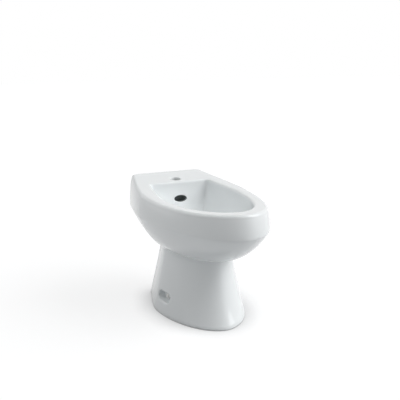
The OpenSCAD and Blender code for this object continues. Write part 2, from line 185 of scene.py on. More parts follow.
# Plan outlines: half width, y of the widest point, y of the front, exponent of the front,
# half width at the back, y of the back, radius of the back corners.
rim_shape = (width / 2 - apron_bulge, 0.116 * length, apron_bulge - length / 2, 1.97,
             deck_w / 2, length / 2, 24)
basin_shape = (width / 2 - apron_bulge - rim_side, 0.033 * length,
               apron_bulge + rim_nose - length / 2, 1.93, 0.406 * deck_w, basin_back, 16)
neck_shape = (103.5, 58, -133, 1.85, 84, neck_back, 30)
foot_shape = (145, 49, -187, 1.83, 112, 210, 34)
# How the sides bend from their widest point to the back, and the points in each stretch
side_power = 1.4
front_n = 36
side_n = 18
corner_n = 9
back_n = 9


def mix(a, b, t):
    """From a at t = 0 to b at t = 1, for numbers and for tuples of them."""
    if isinstance(a, tuple):
        return tuple(mix(u, v, t) for u, v in zip(a, b))
    return a * (1 - t) + b * t


def inset(shape, d):
    """A plan outline drawn in by d all round."""
    x, wide_y, front, power, back_x, back, r = shape
    return (x - d, wide_y, front + d, power, back_x - d, back - d, max(least_corner_r, r - d))


def outline(shape):
    """Points round a plan outline, from the middle of the front by way of the right."""
    x, wide_y, front, power, back_x, back, r = shape
    half = []
    for i in range(front_n + 1):
        a = math.pi / 2 * i / front_n
        ahead = math.cos(a) ** (2 / power) if i < front_n else 0
        half.append((x * math.sin(a) ** (2 / power), wide_y - (wide_y - front) * ahead))
    for i in range(1, side_n + 1):
        t = i / side_n
        half.append((x - (x - back_x) * t ** side_power, mix(wide_y, back - r, t)))
    for i in range(1, corner_n + 1):
        a = math.pi / 2 * i / corner_n
        half.append((back_x - r + r * math.cos(a), back - r + r * math.sin(a)))
    for i in range(1, back_n + 1):
        half.append(((back_x - r) * (1 - i / back_n), back))
    return half + [(-px, py) for px, py in half[-2:0:-1]]


def rim_z(y):
    """Height of the dished rim, which dips along its sides."""
    rise = rim_rise * ((y - dip_y) / (length / 2 - dip_y)) ** 2
    return min(rim_h + rise, body_high[2] / MM)


def crease_z(y):
    """Height of the crease between the apron and the underside."""
    return rim_h - apron_h - crease_fall * (y / length + 0.5) ** 2


def ring(shape, below, level=0, flat=0):
    """A ring of the skin: at a depth below the rim where flat is 0, at a level where it is 1."""
    return [(x, y, mix(rim_z(y) - below, level, flat)) for x, y in outline(shape)]


def basin_ring(s, grow):
    """A ring of the basin's bowl, from its edge at s = 0 to the round seat at s = 1."""
    f = 1 - (1 - s ** basin_power) ** (1 / basin_power)
    points = []
    for x, y in outline(inset(basin_shape, -grow)):
        k = mix(1, (seat_r + grow) / math.hypot(x, y - drain_y), f)
        points.append((x * k, drain_y + (y - drain_y) * k,
                       mix(rim_z(y) - basin_edge_r, seat_z, s)))
    return points


def bulged(shape, b):
    """A plan outline pushed out by b, with the radius of its corners as it was."""
    x, wide_y, front, power, back_x, back, r = shape
    return (x + b, wide_y, front - b, power, back_x + b, back, r)


crease_shape = bulged(rim_shape, apron_bulge * math.sin(apron_arc))


def under_ring(a, d=0, low=neck_h):
    """A ring of the bowl's underside, a quarter turn's part from the crease to the neck."""
    a0, a1, a = math.radians(under_start), math.radians(under_end), math.radians(a)
    drawn = (math.cos(a0) - math.cos(a)) / (math.cos(a0) - math.cos(a1))
    down = (math.sin(a) - math.sin(a0)) / (math.sin(a1) - math.sin(a0))
    return [(x, y, mix(crease_z(y), low, down))
            for x, y in outline(inset(mix(crease_shape, neck_shape, drawn), d))]


def ped_shape(t):
    """The pedestal's outline, from the neck at t = 0 to the foot. Its front flares later."""
    s = mix(neck_shape, foot_shape, t ** side_flare)
    return s[:2] + (mix(neck_shape[2], foot_shape[2], t ** front_flare),) + s[3:]


def steps(n, first=0):
    """The fractions from first / n up to 1, in steps of 1 / n."""
    return [i / n for i in range(first, n + 1)]


def basin_back_ring(s, t):
    """A ring of the basin's wall at a depth t under the surface of its bowl."""
    return [(x, y, z - t * s ** 2) for x, y, z in basin_ring(s ** basin_spread, t)]


# The skin of the casting, ring by ring: the basin, its edge, the rim, its outer edge, the apron,
# the underside and the pedestal,
skin = [basin_ring((1 - t) ** basin_spread, 0) for t in steps(28)]
for t in steps(6, 1):
    a = math.radians(90 * t)
    skin.append(ring(inset(basin_shape, -basin_edge_r * (1 - math.cos(a))),
                     basin_edge_r * (1 - math.sin(a))))
rim_inner = inset(basin_shape, -basin_edge_r)
rim_outer = inset(rim_shape, rim_edge_r)
skin += [ring(mix(rim_inner, rim_outer, t), 0) for t in steps(7, 1)[:-1]]
for t in steps(8):
    a = math.radians(90 * (1 - t))
    skin.append(ring(inset(rim_shape, rim_edge_r * (1 - math.cos(a))),
                     rim_edge_r * (1 - math.sin(a))))
for t in steps(18, 1):
    apron = outline(bulged(rim_shape, apron_bulge * math.sin(apron_arc * t)))
    skin.append([(x, y, mix(rim_z(y) - mix(rim_edge_r, apron_h, t), crease_z(y), t ** 2))
                 for x, y in apron])
skin += [under_ring(mix(under_start, under_end, t)) for t in steps(18, 1)]
skin += [ring(ped_shape(t), 0, mix(neck_h - neck_r, foot_r, t), 1) for t in steps(24)]
for t in steps(4, 1):
    a = math.radians(90 * t)
    skin.append(ring(inset(foot_shape, foot_r * (1 - math.cos(a))), 0,
                     foot_r * (1 - math.sin(a)), 1))
# then the face that it stands on, and the same walls again from inside
foot_ring = len(skin) - 1
skin.append(ring(inset(foot_shape, wall + 3), 0, 0, 1))
skin.append(ring(inset(foot_shape, wall + 5), 0, 2, 1))
skin += [ring(inset(ped_shape(1 - t), wall), 0, mix(neck_h + 4, foot_r, 1 - t), 1)
         for t in steps(12, 1)]
skin += [under_ring(mix(under_end, under_start, t), wall + 2, neck_h + 8) for t in steps(8, 1)]
skin.append(ring(inset(rim_shape, wall), deck_t + 6))
skin.append(ring(inset(rim_shape, wall + 5), deck_t))
skin.append(ring(inset(basin_shape, -wall - 3), deck_t))
skin += [basin_back_ring(s, wall) for s in steps(12, 1)]
boss_ring = []
for x, y, z in skin[-1]:
    k = boss_r / math.hypot(x, y - drain_y)
    boss_ring.append((x * k, drain_y + (y - drain_y) * k, seat_z - boss_t))
skin.append(boss_ring)


def loft(name, rings, finishes=china_finishes, finish=OUTSIDE):
    """A closed solid: a disc on the first ring, its edge pulled on from ring to ring."""
    bpy.ops.object.select_all(action="DESELECT")
    bpy.ops.mesh.primitive_circle_add(vertices=len(rings[0]), radius=1, fill_type="NGON")
    solid = bpy.context.active_object
    solid.name = name
    solid.data.name = name
    for v, p in zip(solid.data.vertices, rings[0]):
        v.co = Vector(p) * MM
    bpy.ops.object.mode_set(mode="EDIT")
    bpy.ops.mesh.select_mode(type="EDGE")
    bpy.ops.mesh.select_all(action="SELECT")
    mesh = bmesh.from_edit_mesh(solid.data)
    loop = {tuple(v.co): i for i, v in enumerate(mesh.verts)}
    for points in rings[1:]:
        bpy.ops.mesh.extrude_edges_move()
        mesh = bmesh.from_edit_mesh(solid.data)
        pulled = {}
        for v in mesh.verts:
            if v.select:
                i = loop[tuple(v.co)]
                v.co = Vector(points[i]) * MM
                pulled[tuple(v.co)] = i
        loop = pulled
        bmesh.update_edit_mesh(solid.data)
    bpy.ops.mesh.edge_face_add()
    bpy.ops.mesh.select_all(action="SELECT")
    bpy.ops.mesh.normals_make_consistent(inside=False)
    bpy.ops.object.mode_set(mode="OBJECT")
    for material in finishes:
        solid.data.materials.append(material)
    for face in solid.data.polygons:
        face.material_index = finish
    return solid


def boolean(solid, tool, operation):
    """Joins a tool to a solid or cuts it out of it, and takes the tool away."""
    modifier = solid.modifiers.new("cut", "BOOLEAN")
    modifier.object = tool
    modifier.operation = operation
    modifier.solver = "MANIFOLD"
    bpy.context.view_layer.objects.active = solid
    bpy.ops.object.modifier_apply(modifier=modifier.name)
    bpy.data.objects.remove(tool)


china = loft("china", skin)
ring_n = len(skin[0])
for face in china.data.polygons:
    first_ring = min(face.vertices) // ring_n
    if first_ring > foot_ring + 1:
        face.material_index = INSIDE
    elif first_ring >= foot_ring - 1:
        face.material_index = BARE

# The overflow's duct. Its middle line, in y and z, starts behind the overflow, passes down the
# back of the basin and ends at the drain
overflow_w = 46
overflow_h = 22
over_z = rim_z(basin_back) - 57
duct_w = 46
duct_d = 16
duct_wall = 8
duct_lid = 11
duct_bend_r = 14
duct_path = [(basin_back + duct_d / 2 + 3, over_z + duct_d / 2 + 2), (basin_back, over_z - 46),
             (basin_back - 36, over_z - 84), (drain_y + 34, seat_z - 16.5),
             (drain_y + 11, seat_z - 17.5)]


def rounded_box(w, h, r, n):
    """Points round a rectangle with round corners, anticlockwise from its right side."""
    points = []
    for q, (sx, sy) in enumerate(((1, 1), (-1, 1), (-1, -1), (1, -1))):
        for i in range(n + 1):
            a = math.pi / 2 * (q + i / n)
            points.append((sx * (w / 2 - r) + r * math.cos(a),
                           sy * (h / 2 - r) + r * math.sin(a)))
    return points


def swept(name, path, section, finish):
    """A section carried along a path in the plane x = 0, turned square to it and mitred."""
    rings = []
    for i, (y, z) in enumerate(path):
        i_in, i_out = max(1, i), min(i + 1, len(path) - 1)
        into = (Vector(path[i_in]) - Vector(path[i_in - 1])).normalized()
        out = (Vector(path[i_out]) - Vector(path[i_out - 1])).normalized()
        side = Vector((-into[1] - out[1], into[0] + out[0])) / (1 + into.dot(out))
        rings.append([(px, y + side[0] * pz, z + side[1] * pz) for px, pz in section])
    return loft(name, rings, finish=finish)


def softened(path, r, n):
    """A path with each inner corner rounded by n + 1 points."""
    points = [path[0]]
    for a, b, c in zip(path, path[1:], path[2:]):
        a, b, c = Vector(a), Vector(b), Vector(c)
        start = b + (a - b).normalized() * r
        end = b + (c - b).normalized() * r
        points += [tuple(mix(mix(tuple(start), tuple(b), t), mix(tuple(b), tuple(end), t), t))
                   for t in steps(n)]
    return points + [path[-1]]


top = Vector(duct_path[0])
lid = (top - Vector(duct_path[1])).normalized() * duct_lid
duct_outside = softened([tuple(top + lid)] + duct_path[1:], duct_bend_r, 6)
duct_inside = softened(duct_path, duct_bend_r, 6)
duct_box = rounded_box(duct_w + 2 * duct_wall, duct_d + 2 * duct_wall, 7, 5)
duct = swept("duct", duct_outside, duct_box, INSIDE)
basin_core = [ring(inset(basin_shape, -wall / 2), 0, 450, 1)]
basin_core += [basin_back_ring(s, wall / 2) for s in steps(12)]
boolean(duct, loft("basin core", basin_core), "DIFFERENCE")
boolean(china, duct, "UNION")

# The recesses of the side screws, with the pads of clay that close them inside the foot
fix_y = 12
fix_z = 56
pocket_l = 68
pocket_h = 29
pocket_x = 109
pocket_in = 99
pocket_rim = 8
screw_hole_r = 6
blank = BVHTree.FromObject(china, bpy.context.evaluated_depsgraph_get())


def stadium(w, h, n):
    """Points of a slot's outline, each with the direction that is outwards there."""
    points = []
    for sx in (1, -1):
        for i in range(n + 1):
            a = math.pi * (i / n - 0.5)
            out = Vector((sx * math.cos(a), sx * math.sin(a)))
            points.append((Vector((sx * (w - h) / 2, 0)) + out * h / 2, out))
    return points if w > h else points[:n] + points[n + 1:-1]


def oval(w, h, n):
    """Points of an ellipse, each with the direction that is outwards there."""
    angles = [2 * math.pi * i / n for i in range(n)]
    return [(Vector((w / 2 * math.cos(a), h / 2 * math.sin(a))),
             Vector((math.cos(a) / w, math.sin(a) / h)).normalized()) for a in angles]


def follow(name, at, way, side, edge, layers, finish=OUTSIDE):
    """A solid along a way into the china. Each layer is set out from the edge and lies at a
    depth under the skin there, or at a depth from the start where it is level."""
    at, way, side = Vector(at), Vector(way), Vector(side)
    up = way.cross(side)
    rings = []
    for out, depth, level in layers:
        points = []
        for p, n in edge:
            start = at + side * (p + n * out).x + up * (p + n * out).y
            skin_depth = 0 if level else blank.ray_cast(start * MM, way)[3] / MM
            points.append(start + way * (skin_depth + depth))
        rings.append(points)
    return loft(name, rings, finish=finish)


def lip(r):
    """Layers of a tool that rounds the lip of a hole, from the air in to the hole's wall. It
    starts outside the skin, which it meets at a slant of 20 degrees."""
    a0 = math.radians(20)
    air_out, air_up = 2, 8
    first = r * (1 - math.sin(a0)) + air_out
    start = r * (1 - math.cos(a0)) - air_out * math.tan(a0)
    layers = [(first, start - air_up, False), (first, start, False)]
    for t in steps(6):
        a = mix(a0, math.pi / 2, t)
        layers.append((r * (1 - math.sin(a)), r * (1 - math.cos(a)), False))
    return layers


def heel(r, depth):
    """Layers that round the foot of a hole's wall into its level floor."""
    return [(-r * (1 - math.cos(a)), depth - r * (1 - math.sin(a)), True)
            for a in [math.pi / 2 * t for t in steps(5)]]


far = 200
for s in (1, -1):
    pad = stadium(pocket_l + 2 * pocket_rim, pocket_h + 2 * pocket_rim, 16)
    boolean(china, follow("pad", (s * far, fix_y, fix_z), (-s, 0, 0), (0, s, 0), pad,
                          [(0, wall / 2, False)] + heel(3, far - pocket_in), INSIDE), "UNION")
    pocket = stadium(pocket_l, pocket_h, 20)
    boolean(china, follow("pocket", (s * far, fix_y, fix_z), (-s, 0, 0), (0, s, 0), pocket,
                          lip(4) + heel(4, far - pocket_x)), "DIFFERENCE")
    bpy.ops.mesh.primitive_cylinder_add(vertices=48, radius=screw_hole_r * MM, depth=40 * MM,
                                        location=(s * pocket_x * MM, fix_y * MM, fix_z * MM),
                                        rotation=(0, math.pi / 2, 0))
    boolean(china, bpy.context.active_object, "DIFFERENCE")

# The tap hole, the drain, the duct's channel and the overflow
tap_d = 35
tap_y = basin_back + 36
above_deck = 430
boolean(china, follow("tap hole", (0, tap_y, above_deck), (0, 0, -1), (1, 0, 0),
                      stadium(tap_d, tap_d, 36), lip(3) + [(0, 75, True)]), "DIFFERENCE")
bpy.ops.mesh.primitive_cylinder_add(vertices=96, radius=drain_r * MM, depth=80 * MM,
                                    location=(0, drain_y * MM, (seat_z - boss_t / 2) * MM))
boolean(china, bpy.context.active_object, "DIFFERENCE")
# The duct's channel takes the grey clay that is painted as shade
boolean(china, swept("channel", duct_inside, rounded_box(duct_w, duct_d, 5, 5), DUCT_PAINTED_SHADE),
        "DIFFERENCE")
overflow_lip = lip(1.5)
overflow_edge = oval(overflow_w, overflow_h, 64)
ahead = 40
overflow = follow("overflow", (0, basin_back - ahead, over_z), (0, 1, 0), (1, 0, 0),
                  overflow_edge, overflow_lip + [(0, ahead + duct_d / 2, True)])
# The overflow's deeper walls take the same grey clay, painted as shade
for face in overflow.data.polygons:
    if min(face.vertices) // len(overflow_edge) >= len(overflow_lip) - 1:
        face.material_index = DUCT_PAINTED_SHADE
boolean(china, overflow, "DIFFERENCE")

# The opening at the back, for the pipes: its outline from the side, in y and z, which runs up
# the back of the pedestal and then under the deck behind the duct, and its arch from behind
arch_w = 150
arch_h = 296
arch_y = duct_path[0][0] + 23
arch_side = softened([(130, -5), (130, neck_h - 54), (148, neck_h), (178, neck_h + 36),
                      (arch_y, neck_h + 58), (arch_y, arch_h + 10)], 8, 4)
arch_side += [(length, arch_h + 10), (length, -5)]
arch_r = arch_w / 2
arch_front = [(arch_r * math.cos(a), arch_h - arch_r + arch_r * math.sin(a))
              for a in [math.pi * t for t in steps(40)]]
arch_front = [(arch_r, -10)] + arch_front + [(-arch_r, -10)]
arch = loft("arch", [[(x, y, z) for y, z in arch_side] for x in (-100, 100)])
boolean(arch, loft("arch front", [[(x, y, z) for x, z in arch_front] for y in (100, 400)]),
        "INTERSECT")
boolean(china, arch, "DIFFERENCE")


def smooth(piece, degrees=40):
    """Shades a piece smooth, but for edges that are sharper than an angle."""
    bpy.ops.object.select_all(action="DESELECT")
    piece.select_set(True)
    bpy.context.view_layer.objects.active = piece
    bpy.ops.object.shade_smooth_by_angle(angle=math.radians(degrees))


smooth(china)
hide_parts("china_body")
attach(china, "fixture")

# ---------------------------------------------------------------------------------------
# The waste: a brass casting turned to size, polished and chrome plated. Its flange beds on a
# rubber washer in the drain's seat, four slots take the water of the overflow, and the tail
# below is threaded for its back nut and for the trap.
# ---------------------------------------------------------------------------------------
waste_r = 20.95
bore_r = 18.45
cone_r = 23.95
cone_h = 6.5
flange_r = (waste_high[0] - waste_low[0]) / 2 / MM
flange_t = 3.5
flange_top = waste_high[2] / MM
tail_end_z = waste_low[2] / MM
tail_top_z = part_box("back_nut")[0][2] / MM - 3.5
groove_h = 3
relief_r = waste_r - 0.9
ledge_r = bore_r - 1
ledge_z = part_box("waste_bridge")[0][2] / MM
slot_w = 18
slot_h = 11
slot_z = seat_z - 18
thread_top_z = seat_z - 28
thread_pitch = 2.309
thread_depth = 1.2
thread_steps = 8
on_drain = ((0, drain_y, 0), (0, 0, 1))


def eased(profile, r, n=3):
    """A closed profile with its corners rounded."""
    return softened([profile[-1]] + profile + [profile[0]], r, n)[1:-1]


def turned(name, profile, axis, finish, turns=72):
    """A piece turned on a lathe: a closed profile of radii and heights, spun about its axis."""
    base, up = Vector(axis[0]), Vector(axis[1])
    out = up.orthogonal().normalized()
    bpy.ops.object.select_all(action="DESELECT")
    bpy.ops.mesh.primitive_circle_add(vertices=len(profile), radius=1, fill_type="NOTHING")
    piece = bpy.context.active_object
    piece.name = name
    piece.data.name = name
    for v, (radius, height) in zip(piece.data.vertices, profile):
        v.co = (base + out * radius + up * height) * MM
    bpy.ops.object.mode_set(mode="EDIT")
    bpy.ops.mesh.select_all(action="SELECT")
    bpy.ops.mesh.spin(steps=turns, angle=2 * math.pi, center=base * MM, axis=up)
    bpy.ops.mesh.select_all(action="SELECT")
    bpy.ops.mesh.remove_doubles(threshold=0.001 * MM)
    bpy.ops.mesh.normals_make_consistent(inside=False)
    bpy.ops.object.mode_set(mode="OBJECT")
    piece.data.materials.append(finish)
    return piece


def fitted(piece, node, body="fixture", degrees=40):
    """Smooths a finished piece and puts it in its node's place."""
    smooth(piece, degrees)
    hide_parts(node)
    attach(piece, body)


def cut_thread(piece, axis, radius, low, high, pitch, depth, edge=0.75):
    """Cuts a thread into the outside of a turned piece, shallower towards both ends. The edge
    sets where its flanks start: at 0.5 it has no flat crest, at 1 no flat root."""
    base, up = Vector(axis[0]), Vector(axis[1])
    across = up.zxy
    for v in piece.data.vertices:
        off = v.co / MM - base
        along = off.dot(up)
        out = off - up * along
        fade = min(1, (along - low) / pitch, (high - along) / pitch)
        if out.length > radius - 0.02 and fade > 0:
            a = math.atan2(out.dot(up.cross(across)), out.dot(across))
            turn = (along / pitch - a / (2 * math.pi)) % 1
            groove = min(1, max(0, edge - abs(2 * turn - 1)) / (2 * edge - 1))
            v.co = (base + up * along + out * (1 - depth * fade * groove / radius)) * MM


# Bright chromium over polished brass: a mirror with the faintest haze of fine scratches and
# dried water, which only its gloss shows
chrome, place = new_material("chromium plated brass")
haze = add(chrome, "ShaderNodeTexNoise", {"Vector": place, "Scale": 1 / (9 * MM), "Detail": 4.0})
colour = add(chrome, "ShaderNodeMix", {0: haze.outputs[0], 6: linear("#C3C6C9"),
                                       7: linear("#D3D5D6")}, data_type="RGBA")
shine = add(chrome, "ShaderNodeMapRange", {0: haze.outputs[0], 3: 0.03, 4: 0.12})
surface = add(chrome, "ShaderNodeBsdfPrincipled",
              {"Base Color": colour.outputs[2], "Roughness": shine.outputs[0], "Metallic": 1.0})
add(chrome, "ShaderNodeOutputMaterial", {"Surface": surface.outputs[0]})

# The tail is turned first, with close rings of points for its two lengths of thread
thread_n = int((thread_top_z - tail_end_z - 1) / thread_pitch * thread_steps)
thread_z = [tail_end_z + 1 + i * thread_pitch / thread_steps for i in range(thread_n)]
tail = [(bore_r - 0.7, tail_end_z), (waste_r - 1, tail_end_z)]
tail += [(waste_r, z) for z in thread_z if z < tail_top_z - 0.2]
tail += [(waste_r, tail_top_z), (relief_r, tail_top_z + 0.4),
         (relief_r, tail_top_z + groove_h - 0.4), (waste_r, tail_top_z + groove_h)]
tail += [(waste_r, z) for z in thread_z if z > tail_top_z + groove_h + 0.2]
head = softened([(waste_r, thread_top_z), (waste_r, flange_top - flange_t),
                 (flange_r, flange_top - flange_t), (flange_r, flange_top - 2.2),
                 (flange_r - 5, flange_top), (cone_r, flange_top), (bore_r, flange_top - cone_h),
                 (bore_r, ledge_z), (ledge_r, ledge_z), (ledge_r, tail_end_z + 0.3),
                 (bore_r - 0.7, tail_end_z)], 1.2, 4)[:-1]
waste = turned("waste", tail + head, on_drain, chrome)
for low, high in ((tail_end_z + 0.8, tail_top_z), (tail_top_z + groove_h, thread_top_z)):
    cut_thread(waste, on_drain, waste_r, low, high, thread_pitch, thread_depth)
reach = 50
for way, side in (((1, 0, 0), (0, 1, 0)), ((0, 1, 0), (-1, 0, 0))):
    start = Vector((0, drain_y, slot_z)) - reach * Vector(way)
    boolean(waste, follow("slot", start, way, side, stadium(slot_w, slot_h, 12),
                          [(0, 0, True), (0, 2 * reach, True)]), "DIFFERENCE")
fitted(waste, "waste_body")

# ---------------------------------------------------------------------------------------
# The washers and the nut that clamp the waste: a flat rubber ring above the china, a rubber
# cone below it, a smooth nylon ring that the nut slides on, and a hexagonal brass nut.
# ---------------------------------------------------------------------------------------
# Moulded black rubber: matt, faintly mottled and dusty grey where it has been handled
rubber, place = new_material("moulded black rubber")
bloom = add(rubber, "ShaderNodeTexNoise", {"Vector": place, "Scale": 1 / (4 * MM),
                                           "Detail": 5.0})
colour = add(rubber, "ShaderNodeMix", {0: bloom.outputs[0], 6: linear("#1A1A1B"),
                                       7: linear("#343434")}, data_type="RGBA")
matt = add(rubber, "ShaderNodeMapRange", {0: bloom.outputs[0], 3: 0.5, 4: 0.75})
rough = add(rubber, "ShaderNodeBump", {"Height": bloom.outputs[0], "Strength": 0.2,
                                       "Distance": 0.1 * MM})
surface = add(rubber, "ShaderNodeBsdfPrincipled",
              {"Base Color": colour.outputs[2], "Roughness": matt.outputs[0], "IOR": 1.52,
               "Normal": rough.outputs[0]})
add(rubber, "ShaderNodeOutputMaterial", {"Surface": surface.outputs[0]})

# Natural nylon, moulded: creamy, satin, a little cloudy because light enters it
nylon, place = new_material("moulded natural nylon")
cloud = add(nylon, "ShaderNodeTexNoise", {"Vector": place, "Scale": 1 / (6 * MM), "Detail": 3.0})
colour = add(nylon, "ShaderNodeMix", {0: cloud.outputs[0], 6: linear("#E2DED0"),
                                      7: linear("#EFECE2")}, data_type="RGBA")
satin = add(nylon, "ShaderNodeMapRange", {0: cloud.outputs[0], 3: 0.34, 4: 0.5})
surface = add(nylon, "ShaderNodeBsdfPrincipled",
              {"Base Color": colour.outputs[2], "Roughness": satin.outputs[0], "IOR": 1.53,
               "Subsurface Weight": 0.08, "Subsurface Radius": (2 * MM, 2 * MM, 1.5 * MM)})
add(nylon, "ShaderNodeOutputMaterial", {"Surface": surface.outputs[0]})

# Brass as it leaves the lathe: fine rings 1 mm apart round its axis, under a thin brown tarnish
# that gathers in clouds. Real rings are finer, and wouldn't show.
brass, place = new_material("turned brass")
ring_gap = 1
rings = add(brass, "ShaderNodeTexWave",
            {"Vector": place, "Scale": math.pi / (10 * ring_gap * MM), "Distortion": 0.4,
             "Detail": 2.0}, wave_type="BANDS", bands_direction="Z")
tarnish = add(brass, "ShaderNodeTexNoise", {"Vector": place, "Scale": 1 / (7 * MM),
                                            "Detail": 4.0})
colour = add(brass, "ShaderNodeMix", {0: tarnish.outputs[0], 6: linear("#B28E45"),
                                      7: linear("#D8B765")}, data_type="RGBA")
dull = add(brass, "ShaderNodeMapRange", {0: tarnish.outputs[0], 3: 0.42, 4: 0.24})
marks = add(brass, "ShaderNodeBump", {"Height": rings.outputs[1], "Strength": 0.25,
                                      "Distance": 0.05 * MM})
surface = add(brass, "ShaderNodeBsdfPrincipled",
              {"Base Color": colour.outputs[2], "Roughness": dull.outputs[0], "Metallic": 1.0,
               "Normal": marks.outputs[0]})
add(brass, "ShaderNodeOutputMaterial", {"Surface": surface.outputs[0]})


def node_span(node):
    """The lowest and highest z of a node on the drain's axis, and its outer radius."""
    low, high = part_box(node)
    return low[2] / MM, high[2] / MM, (high[0] - low[0]) / 2 / MM


def ring_profile(r_in, r_out, low, high, ease):
    """The profile of a flat ring with eased edges."""
    return eased([(r_in, low), (r_out, low), (r_out, high), (r_in, high)], ease)


washer_bore_r = waste_r + 0.1
low, high, r_out = node_span("flange_washer")
fitted(turned("bedding_washer", ring_profile(washer_bore_r, r_out, low, high, 0.5), on_drain,
              rubber), "flange_washer")
low, high, r_out = node_span("cone_seal")
seal_profile = eased([(washer_bore_r, low), (r_out - 4, low), (r_out, high),
                      (washer_bore_r, high)], 0.8)
fitted(turned("drain_seal", seal_profile, on_drain, rubber), "cone_seal")
low, high, r_out = node_span("slip_washer")
fitted(turned("slip_ring", ring_profile(washer_bore_r, r_out, low, high, 0.4), on_drain, nylon),
       "slip_washer")


def hex_nut(name, flat_r, bore, low, high, axis, finish):
    """A nut or a bolt's head, sawn from hexagonal bar: its corners are turned off at 30
    degrees, and its bore, where it has one, is countersunk."""
    corner_r = flat_r / math.cos(math.pi / 6)
    face_r = 0.94 * flat_r
    beyond = 1.02 * corner_r
    drop = (beyond - face_r) * math.tan(math.pi / 6)
    chamfered = [(face_r, low), (beyond, low + drop), (beyond, high - drop), (face_r, high)]
    if bore:
        sink = min(1, bore / 5)
        middle = [(bore + sink, high), (bore, high - sink), (bore, low + sink), (bore + sink, low)]
    else:
        middle = [(0, high), (0, low)]
    rounded = eased(chamfered + middle, 0.15 * drop, 2)
    nut = turned(name, [(max(0, r), h) for r, h in rounded], axis, finish, 90)
    base, up = Vector(axis[0]), Vector(axis[1])
    across = up.zxy
    corners = [across * corner_r * math.cos(a) + up.cross(across) * corner_r * math.sin(a)
               for a in [math.pi / 3 * i for i in range(6)]]
    bar = [[base + up * h + c for c in corners] for h in (low - 1, high + 1)]
    boolean(nut, loft("bar", bar, (finish,), 0), "INTERSECT")
    return nut


low, high, r_out = node_span("back_nut")
nut_flat_r = waste_r + 10
fitted(hex_nut("clamp_nut", nut_flat_r, washer_bore_r, low, high, on_drain, brass), "back_nut",
       degrees=25)

# ---------------------------------------------------------------------------------------
# The plug and its click mechanism: a chrome dome with an O-ring on a brass stem, which a
# plunger and spring in a nylon barrel hold shut or open. A brass bridge carries the barrel.
# ---------------------------------------------------------------------------------------
plug_low, plug_top, plug_r = node_span("plug_cap")
ring_low, ring_high, ring_out = node_span("plug_seal")
seal_r = (ring_high - ring_low) / 2
groove_r = ring_out - 2 * seal_r
plug_under = flange_top + 0.3
plug_rim = plug_under + 1.2
stem_r = 3
dome = [(plug_r * math.cos(a), plug_rim + (plug_top - plug_rim) * math.sin(a))
        for a in [math.pi / 2 * t for t in steps(24)]]
neck_edge_r = groove_r + 0.8
plug_profile = [(stem_r, plug_low), (neck_edge_r - 0.4, plug_low), (neck_edge_r, plug_low + 0.3),
                (neck_edge_r, ring_low - 0.1), (groove_r, ring_low), (groove_r, plug_under),
                (plug_r - 0.5, plug_under), (plug_r - 0.1, plug_under + 0.3)]
plug_profile += dome + [(0, plug_low + 5), (stem_r, plug_low + 5)]
fitted(turned("plug_dome", plug_profile, on_drain, chrome, 96), "plug_cap", "plug")

# Stainless wire and bolts: drawn or rolled, then passivated, so satin grey with fine draw lines
stainless, place = new_material("satin stainless steel")
lines = add(stainless, "ShaderNodeMapping", {"Vector": place, "Scale": (0.05, 1, 1)})
drawn = add(stainless, "ShaderNodeTexNoise", {"Vector": lines.outputs[0],
                                              "Scale": 1 / (0.6 * MM), "Detail": 2.0})
colour = add(stainless, "ShaderNodeMix", {0: drawn.outputs[0], 6: linear("#A3A4A6"),
                                          7: linear("#BDBEC0")}, data_type="RGBA")
satin = add(stainless, "ShaderNodeMapRange", {0: drawn.outputs[0], 3: 0.24, 4: 0.36})
surface = add(stainless, "ShaderNodeBsdfPrincipled",
              {"Base Color": colour.outputs[2], "Roughness": satin.outputs[0], "Metallic": 1.0})
add(stainless, "ShaderNodeOutputMaterial", {"Surface": surface.outputs[0]})

# The small pieces inside the tube are the CAD's own
for node, material in (("plug_seal", rubber), ("plug_stem", brass), ("waste_bridge", brass),
                       ("click_cartridge", nylon), ("cartridge_spring", stainless)):
    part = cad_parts[node]
    part.data.materials.clear()
    part.data.materials.append(material)

# ---------------------------------------------------------------------------------------
# The floor brackets: angles of 4 mm steel, pressed, punched and zinc plated, which the
# installer screws to the floor before the pedestal is lowered over them.
# ---------------------------------------------------------------------------------------
# Zinc plate, passivated: blue-grey, satin, with soft cloudy spangles and a faint yellow cast
zinc, place = new_material("zinc plated pressed steel")
cells = add(zinc, "ShaderNodeTexVoronoi", {"Vector": place, "Scale": 1 / (5 * MM)})
cloud = add(zinc, "ShaderNodeTexNoise", {"Vector": place, "Scale": 1 / (14 * MM), "Detail": 3.0})
cast = add(zinc, "ShaderNodeMix", {0: cloud.outputs[0], 6: linear("#A4A9AF"),
                                   7: linear("#B9B7A9")}, data_type="RGBA")
colour = add(zinc, "ShaderNodeMix", {0: 0.25, 6: cast.outputs[2], 7: cells.outputs["Color"]},
             data_type="RGBA", blend_type="MULTIPLY")
satin = add(zinc, "ShaderNodeMapRange", {0: cloud.outputs[0], 3: 0.3, 4: 0.48})
surface = add(zinc, "ShaderNodeBsdfPrincipled",
              {"Base Color": colour.outputs[2], "Roughness": satin.outputs[0], "Metallic": 1.0})
add(zinc, "ShaderNodeOutputMaterial", {"Surface": surface.outputs[0]})

bracket_low, bracket_high = [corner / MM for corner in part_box("floor_bracket_right")]
bracket_t = 4
bend_r = bracket_t + 2
bracket_x = bracket_high[0]
foot_in = bracket_low[0]
top_z = bracket_high[2]
floor_hole_in = 23
floor_hole_gap = 22
floor_hole_r = 4
screw_r = 3
side_hole_r = screw_r + 0.3
on_screw = ((0, fix_y, fix_z), (1, 0, 0))


